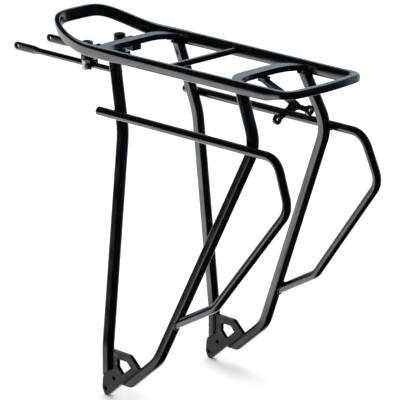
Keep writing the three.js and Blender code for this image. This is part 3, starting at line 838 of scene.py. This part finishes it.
def edged_copy(node, material, edge):
    source = frame["nodes"][node]
    work = bmesh.new()
    corners = [work.verts.new(vertex.co) for vertex in source.data.vertices]
    for polygon in source.data.polygons:
        points = [corners[i] for i in polygon.vertices]
        if work.faces.get(points) is None:
            work.faces.new(points)
    bmesh.ops.remove_doubles(work, verts=work.verts, dist=0.002 * MM)
    bmesh.ops.dissolve_limit(
        work, angle_limit=math.radians(FLAT_ANGLE), verts=work.verts, edges=work.edges
    )
    bmesh.ops.recalc_face_normals(work, faces=work.faces)
    piece = finish_piece(work, f"{node}_made", source["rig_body"], material, EDGE_ANGLE)
    round_edges(piece, edge, EDGE_ANGLE)
    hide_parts(node)
    return piece


# The light bracket, the foot plates and the stay arms take the darker copy of the plate coat, which is
# painted shade.
MIDDLE_PIECES = (
    ("front_bridge", plate_coat, 0.9),
    ("rear_bridge", plate_coat, 0.9),
    ("light_bracket", shaded_plate_coat, 0.5),
)
for node, material, edge in MIDDLE_PIECES:
    edged_copy(node, material, edge)

SIDE_PIECES = (
    ("foot_plate", BLACK_ALLOY, shaded_plate_coat, 0.5),
    ("stay_arm", BLACK_ALLOY, shaded_plate_coat, 0.5),
    ("clamp_block", BLACK_ALLOY, plate_coat, 0.4),
    ("clamp_plate", BLACK_FASTENER, screw_black, 0.3),
    ("clamp_bolt", BLACK_FASTENER, screw_black, 0.25),
    ("lock_screw", BLACK_FASTENER, screw_black, 0.2),
    ("clamp_saddle", BRIGHT_STEEL, strap_steel, 0.4),
    ("stay", BLACK_ALLOY, tube_coat, 0.4),
    ("stay_cap", BLACK_PLASTIC, plug_plastic, 0.4),
    ("rail_plug", BLACK_PLASTIC, plug_plastic, 0.3),
)
for name in SIDES:
    for part, slot, material, edge in SIDE_PIECES:
        edged_copy(f"{name}_{part}", material, edge)
print(f"{len(MIDDLE_PIECES) + 2 * len(SIDE_PIECES)} edged pieces")

# %% [markdown]
# ## Weld beads
# The frame is welded, and a weld is a row of small overlapping puddles, like a leaning stack of coins. A
# bead is one more swept tube, whose radius swells once for each puddle. Its line follows the seam between
# the two pieces that it joins.

# %% A bead along a seam
BEAD_STEP = 0.4
PUDDLE = 1.7  # from one puddle to the next
BEAD_POINTS = 12
SEAM_POINTS = 48


def bead(name, points, radius, closed=False):
    line = even_steps(points, BEAD_STEP, closed)
    rings = []
    for i, point in enumerate(line):
        before = line[i - 1] if closed or i > 0 else line[0]
        after = line[(i + 1) % len(line)] if closed or i + 1 < len(line) else line[-1]
        along = (after - before).normalized()
        lead = Z_AXIS if abs(along.z) < 0.9 else X_AXIS
        across = along.cross(lead).normalized()
        swell = 0.86 + 0.14 * abs(math.sin(math.pi * i * BEAD_STEP / PUDDLE))
        taper = 1.0
        if not closed:
            from_end = min(i, len(line) - 1 - i) * BEAD_STEP
            taper = min(1.0, 0.35 + 0.65 * from_end / radius)
        size = 2 * radius * swell * taper
        rings.append(section_ring(point, across, across.cross(along), size, size, ROUND, BEAD_POINTS))
    return finish_piece(skin(rings, closed), name, "rack", weld_coat, 80.0)


# %% Beads round the legs and the crossbar
BRIDGE_THICKNESS = 6.4


def deck_centre_y(x):
    if x > HOOP_START_X:
        straight = DECK_REAR_X - REAR_BOW - REAR_CORNER - HOOP_START_X
        return DECK_HALF_FRONT + (DECK_HALF_REAR - DECK_HALF_FRONT) * (x - HOOP_START_X) / straight
    s = ((HOOP_START_X - x) / (HOOP_START_X - DECK_FRONT_X)) ** (HOOP_POWERS[0] / 2)
    return DECK_HALF_FRONT * math.sqrt(max(0.0, 1 - s * s)) ** (2 / HOOP_POWERS[1])


TOP_SEAM_SIZE = LEG_SIZE + 0.8
beads = []
for name, side in SIDES.items():
    for part, (top_x, top_z) in (("front", FRONT_TOP), ("rear", REAR_TOP)):
        centre = Vector((top_x, side * leg_y(top_z), top_z - 0.4))
        ring = section_ring(centre, X_AXIS, Y_AXIS, TOP_SEAM_SIZE, TOP_SEAM_SIZE, LEG_POWER, SEAM_POINTS)
        beads.append(bead(f"{name}_{part}_leg_top_weld", ring, 1.3, closed=True))
    wall_y = side * (deck_centre_y(CROSSBAR_X) - SIDE_SECTION[0] / 2)
    width, height = CROSSBAR_SIZE
    centre = Vector((CROSSBAR_X, wall_y, CROSSBAR_Z))
    ring = section_ring(centre, X_AXIS, Z_AXIS, width, height, CROSSBAR_POWER, SEAM_POINTS)
    beads.append(bead(f"{name}_crossbar_weld", ring, 0.9, closed=True))
print(f"{len(beads)} beads round tube ends")

# %% Beads along the bridges' ends
BRIDGE_SEAMS = (("upper", BRIDGE_TOP_Z - 0.3), ("lower", BRIDGE_TOP_Z - BRIDGE_THICKNESS + 0.6))
for name, side in SIDES.items():
    for part, from_x, to_x in (("front", -31.0, -4.0), ("rear", 171.0, 189.0)):
        for level, z in BRIDGE_SEAMS:
            seam = []
            for i in range(13):
                x = from_x + (to_x - from_x) * i / 12
                seam.append(Vector((x, side * (deck_centre_y(x) - SIDE_SECTION[0] / 2 + 0.1), z)))
            beads.append(bead(f"{name}_{part}_bridge_{level}_weld", seam, 1.0))
print(f"{len(beads)} beads with the bridges'")

# %% Beads where the rails cross the legs
CROSSING_HALF = 5.2
CROSSING_RISE = 3.0  # from the rail's middle up or down to the bead


def crossing_bead(name, x, z, side, level):
    y = side * (leg_y(z) + LEG_SIZE / 2)
    height = z + level * CROSSING_RISE
    ends = [Vector((x - CROSSING_HALF, y, height)), Vector((x + CROSSING_HALF, y, height))]
    return bead(name, ends, 1.1)


RAIL_TOP_Z = RAIL_CORNERS[0][1]
FRONT_CROSS_X = FRONT_BEND[0] + (FRONT_TOP[0] - FRONT_BEND[0]) * (
    (RAIL_TOP_Z - FRONT_BEND[1]) / (FRONT_TOP[1] - FRONT_BEND[1])
)
REAR_CROSS_X = REAR_BEND[0] - 2.4
for name, side in SIDES.items():
    for part, x in (("front", FRONT_CROSS_X), ("rear", REAR_CROSS_X)):
        for level_name, level in (("upper", 1), ("lower", -1)):
            label = f"{name}_{part}_rail_{level_name}_weld"
            beads.append(crossing_bead(label, x, RAIL_TOP_Z, side, level))


def rail_end_ring(side):
    leg_low = Vector((REAR_HEEL[0], side * leg_y(REAR_HEEL[1]), REAR_HEEL[1]))
    leg_high = Vector((REAR_BEND[0], side * leg_y(REAR_BEND[1]), REAR_BEND[1]))
    leg_run = (leg_high - leg_low).normalized()
    out = Vector((leg_run.z, 0, -leg_run.x)).normalized()
    (x0, z0), (x1, z1) = RAIL_CORNERS[-2], RAIL_CORNERS[-1]
    start = Vector((x0, side * rail_y(z0), z0))
    end = Vector((x1, side * rail_y(z1), z1))
    run = (end - start).normalized()
    across = (Y_AXIS - run * run.dot(Y_AXIS)).normalized()
    size = 2 * RAIL_RADIUS
    ring = section_ring(end, across, run.cross(across), size, size, ROUND, SEAM_POINTS)
    face = LEG_SIZE / 2 + 0.2
    return [point - run * (((point - leg_low).dot(out) - face) / run.dot(out)) for point in ring]


for name, side in SIDES.items():
    beads.append(bead(f"{name}_rail_end_weld", rail_end_ring(side), 1.2, closed=True))
print(f"{len(beads)} beads with the rails'")

# %% Beads on the feet, the arms and the light bracket
FOOT_PLATE_Y = 82.5
FOOT_PLATE_THICKNESS = 5.0
HEEL_RUN = Vector((REAR_HEEL[0] - REAR_END[0], 0, REAR_HEEL[1] - REAR_END[1])).normalized()


def on_heel(along, y):
    """A point on the upper face of the rear leg's lowest stretch."""
    above = Vector((-HEEL_RUN.z, 0, HEEL_RUN.x))
    start = Vector((REAR_END[0], y, REAR_END[1]))
    return start + HEEL_RUN * along + above * (LEG_SIZE / 2 + 0.1)


for name, side in SIDES.items():
    leg_back = FRONT_KNEE[0] + LEG_SIZE / 2 + 0.1
    for face_name, face in (("outer", 1), ("inner", -1)):
        y = side * (FOOT_PLATE_Y + face * (FOOT_PLATE_THICKNESS / 2 - 0.1))
        seams = (
            ("front_leg", [Vector((leg_back, y, 27.0)), Vector((leg_back, y, 46.5))]),
            ("rear_leg", [on_heel(14.0, y), on_heel(45.0, y)]),
            ("leg_end", [Vector((-3.4, y, 14.6)), Vector((leg_back - 0.8, y, 25.2))]),
        )
        for seam_name, seam in seams:
            beads.append(bead(f"{name}_foot_{face_name}_{seam_name}_weld", seam, 1.1))

ARM_Y = 25.2
ARM_SEAM_HALF = 6.3
ARM_SEAM_Z = 371.4
BRIDGE_FRONT_X = -50.2
for name, side in SIDES.items():
    ends = (side * ARM_Y - ARM_SEAM_HALF, side * ARM_Y + ARM_SEAM_HALF)
    seam = [Vector((BRIDGE_FRONT_X, y, ARM_SEAM_Z)) for y in ends]
    beads.append(bead(f"{name}_arm_weld", seam, 1.2))

BRACKET_ROOT = Vector((158.9, 0, 371.2))
BRACKET_ROOT_SECTION = (11.0, 8.4, 8.0)
root = section_ring(BRACKET_ROOT, X_AXIS, Y_AXIS, *BRACKET_ROOT_SECTION, SEAM_POINTS)
beads.append(bead("light_bracket_weld", root, 1.0, closed=True))
print(f"{len(beads)} weld beads, {sum(len(b.data.polygons) for b in beads)} faces")

# %% [markdown]
# ## The studio
# Gloss black is painted by what it reflects, so the studio is built for the reflections. Panels and cards
# could stand round the rack, but the world can draw the same room in a few nodes: a cool, bright backdrop
# far behind the rack, a white table low on the hoop's side, and darkness overhead and on the camera's
# side. The pale paper under the feet takes the shadows and stays out of the reflections, and it fades into
# white before its rim. Two large soft lights light the paper and the rack evenly, and leave no spot of
# their own.

# %% Floor
FLOOR_Z = -8.2
FLOOR_RADIUS = 2.6
FLOOR_FADE = (0.9, 2.4)  # metres from the middle, from paper to white
RIM_STEPS = 96


def floor_paper():
    material = bpy.data.materials.new("floor_paper")
    material.use_nodes = True
    tree = material.node_tree
    tree.nodes.clear()
    nodes = tree.nodes
    links = tree.links

    paper_frame = nodes.new("NodeFrame")
    paper_frame.label = "pale paper"
    surround_frame = nodes.new("NodeFrame")
    surround_frame.label = "fade to white"

    place = nodes.new("ShaderNodeTexCoord")
    place.label = "where on the floor"
    place.location = (-900, 0)
    fibre = nodes.new("ShaderNodeTexNoise")
    fibre.label = "paper fibre"
    fibre.location = (-680, 0)
    fibre.inputs["Scale"].default_value = 40.0
    fibre.parent = paper_frame
    shade = nodes.new("ShaderNodeValToRGB")
    shade.label = "pale paper"
    shade.location = (-440, 0)
    shade.color_ramp.elements[0].color = (0.88, 0.88, 0.88, 1.0)
    shade.color_ramp.elements[1].color = (0.92, 0.92, 0.92, 1.0)
    shade.parent = paper_frame
    surface = nodes.new("ShaderNodeBsdfDiffuse")
    surface.label = "matt paper"
    surface.location = (-160, 0)
    reach = nodes.new("ShaderNodeVectorMath")
    reach.label = "distance from the middle"
    reach.operation = "LENGTH"
    reach.location = (-680, 260)
    reach.parent = surround_frame
    fade = nodes.new("ShaderNodeMapRange")
    fade.label = "fade to white"
    fade.interpolation_type = "SMOOTHSTEP"
    fade.location = (-440, 260)
    fade.inputs["From Min"].default_value = FLOOR_FADE[0]
    fade.inputs["From Max"].default_value = FLOOR_FADE[1]
    fade.parent = surround_frame
    white = nodes.new("ShaderNodeEmission")
    white.label = "white surround"
    white.location = (-160, -180)
    white.parent = surround_frame
    blend = nodes.new("ShaderNodeMixShader")
    blend.label = "paper or surround"
    blend.location = (60, 0)
    output = nodes.new("ShaderNodeOutputMaterial")
    output.label = "surface"
    output.location = (280, 0)
    links.new(place.outputs["Object"], fibre.inputs["Vector"])
    links.new(place.outputs["Object"], reach.inputs[0])
    links.new(reach.outputs["Value"], fade.inputs["Value"])
    links.new(fibre.outputs["Fac"], shade.inputs["Fac"])
    links.new(shade.outputs["Color"], surface.inputs["Color"])
    links.new(fade.outputs["Result"], blend.inputs["Fac"])
    links.new(surface.outputs["BSDF"], blend.inputs[1])
    links.new(white.outputs["Emission"], blend.inputs[2])
    links.new(blend.outputs["Shader"], output.inputs["Surface"])
    return material


def floor_disc(name, radius, material):
    work = bmesh.new()
    rim = []
    for i in range(RIM_STEPS):
        angle = 2 * math.pi * i / RIM_STEPS
        rim.append(work.verts.new((radius * math.cos(angle), radius * math.sin(angle), FLOOR_Z * MM)))
    work.faces.new(rim)
    mesh = bpy.data.meshes.new(name)
    work.to_mesh(mesh)
    work.free()
    mesh.materials.append(material)
    disc = bpy.data.objects.new(name, mesh)
    bpy.context.scene.collection.objects.link(disc)
    return disc


paper = floor_paper()
floor = floor_disc("floor", FLOOR_RADIUS, paper)
floor.visible_glossy = False
print(f"floor {-FLOOR_Z:.1f} mm below the foot holes")

# %% Lights
def soft_light(name, place, target, size, power):
    data = bpy.data.lights.new(name, "AREA")
    data.shape = "SQUARE"
    data.size = size
    data.energy = power
    light = bpy.data.objects.new(name, data)
    light.location = place
    light.rotation_euler = (Vector(target) - Vector(place)).to_track_quat("-Z", "Y").to_euler()
    bpy.context.scene.collection.objects.link(light)
    light.visible_glossy = False
    light.visible_camera = False
    return light


soft_light("overhead_light", (-0.6, 0.8, 3.2), (-0.4, 0.5, 0.0), 4.0, 190.0)
soft_light("front_light", (1.6, -2.0, 2.6), (0.0, 0.0, 0.2), 2.0, 60.0)
print("two soft lights")

# %% Room
BACKDROP_TO = (-0.643, 0.766, 0.0)  # direction of the bright backdrop's middle
ROOM_DARK = (0.012, 0.013, 0.015, 1.0)
BACKDROP_LIGHT = (0.66, 0.78, 0.87, 1.0)
TABLE_LIGHT = (1.28, 1.24, 1.2, 1.0)


def room():
    world = bpy.data.worlds.new("studio_room")
    world.use_nodes = True
    tree = world.node_tree
    tree.nodes.clear()
    nodes = tree.nodes
    links = tree.links

    backdrop_frame = nodes.new("NodeFrame")
    backdrop_frame.label = "bright backdrop"
    table_frame = nodes.new("NodeFrame")
    table_frame.label = "white table"
    view_frame = nodes.new("NodeFrame")
    view_frame.label = "what the camera sees"

    direction = nodes.new("ShaderNodeTexCoord")
    direction.label = "direction"
    direction.location = (-1200, 0)
    towards = nodes.new("ShaderNodeVectorMath")
    towards.label = "towards the backdrop"
    towards.operation = "DOT_PRODUCT"
    towards.location = (-960, 220)
    towards.inputs[1].default_value = BACKDROP_TO
    towards.parent = backdrop_frame
    side = nodes.new("ShaderNodeMapRange")
    side.label = "backdrop or dark side"
    side.location = (-720, 220)
    side.inputs["From Min"].default_value = 0.3
    side.inputs["From Max"].default_value = 0.42
    side.parent = backdrop_frame
    parts = nodes.new("ShaderNodeSeparateXYZ")
    parts.label = "height"
    parts.location = (-960, -160)
    low = nodes.new("ShaderNodeMapRange")
    low.label = "dark overhead"
    low.location = (-720, -40)
    low.inputs["From Min"].default_value = 0.6
    low.inputs["From Max"].default_value = 0.42
    low.parent = backdrop_frame
    high = nodes.new("ShaderNodeMapRange")
    high.label = "the backdrop's lower edge"
    high.location = (-720, 480)
    high.inputs["From Min"].default_value = -0.46
    high.inputs["From Max"].default_value = -0.36
    high.parent = backdrop_frame
    upright = nodes.new("ShaderNodeMath")
    upright.label = "between its edges"
    upright.operation = "MULTIPLY"
    upright.location = (-480, 380)
    upright.parent = backdrop_frame
    table = nodes.new("ShaderNodeMapRange")
    table.label = "white table below"
    table.location = (-720, -300)
    table.inputs["From Min"].default_value = -0.225
    table.inputs["From Max"].default_value = -0.29
    table.parent = table_frame
    edge = nodes.new("ShaderNodeMapRange")
    edge.label = "only on the hoop's side"
    edge.location = (-720, -560)
    edge.inputs["From Min"].default_value = -0.05
    edge.inputs["From Max"].default_value = -0.35
    edge.parent = table_frame
    under = nodes.new("ShaderNodeMath")
    under.label = "where the table is"
    under.operation = "MULTIPLY"
    under.location = (-480, -300)
    under.parent = table_frame
    both = nodes.new("ShaderNodeMath")
    both.label = "where the backdrop is"
    both.operation = "MULTIPLY"
    both.location = (-480, 120)
    both.parent = backdrop_frame
    backdrop = nodes.new("ShaderNodeMix")
    backdrop.label = "backdrop or dark room"
    backdrop.data_type = "RGBA"
    backdrop.location = (-240, 120)
    backdrop.inputs["A"].default_value = ROOM_DARK
    backdrop.inputs["B"].default_value = BACKDROP_LIGHT
    backdrop.parent = backdrop_frame
    lower = nodes.new("ShaderNodeMix")
    lower.label = "table under the room"
    lower.data_type = "RGBA"
    lower.location = (0, 0)
    lower.inputs["B"].default_value = TABLE_LIGHT
    lower.parent = table_frame
    ray = nodes.new("ShaderNodeLightPath")
    ray.label = "seen directly or reflected"
    ray.location = (0, 320)
    ray.parent = view_frame
    choice = nodes.new("ShaderNodeMix")
    choice.label = "white behind the floor"
    choice.data_type = "RGBA"
    choice.location = (240, 120)
    choice.inputs["B"].default_value = (1.0, 1.0, 1.0, 1.0)
    choice.parent = view_frame
    back = nodes.new("ShaderNodeBackground")
    back.label = "room"
    back.location = (480, 120)
    output = nodes.new("ShaderNodeOutputWorld")
    output.label = "room"
    output.location = (700, 120)
    links.new(direction.outputs["Generated"], towards.inputs[0])
    links.new(towards.outputs["Value"], side.inputs["Value"])
    links.new(direction.outputs["Generated"], parts.inputs["Vector"])
    links.new(parts.outputs["Z"], low.inputs["Value"])
    links.new(parts.outputs["Z"], table.inputs["Value"])
    links.new(side.outputs["Result"], both.inputs[0])
    links.new(parts.outputs["Z"], high.inputs["Value"])
    links.new(high.outputs["Result"], upright.inputs[0])
    links.new(low.outputs["Result"], upright.inputs[1])
    links.new(upright.outputs["Value"], both.inputs[1])
    links.new(both.outputs["Value"], backdrop.inputs["Factor"])
    links.new(backdrop.outputs["Result"], lower.inputs["A"])
    links.new(parts.outputs["X"], edge.inputs["Value"])
    links.new(table.outputs["Result"], under.inputs[0])
    links.new(edge.outputs["Result"], under.inputs[1])
    links.new(under.outputs["Value"], lower.inputs["Factor"])
    links.new(lower.outputs["Result"], choice.inputs["A"])
    links.new(ray.outputs["Is Camera Ray"], choice.inputs["Factor"])
    links.new(choice.outputs["Result"], back.inputs["Color"])
    links.new(back.outputs["Background"], output.inputs["Surface"])
    return world


bpy.context.scene.world = room()
bpy.context.scene.view_settings.view_transform = "Standard"
print("room set")
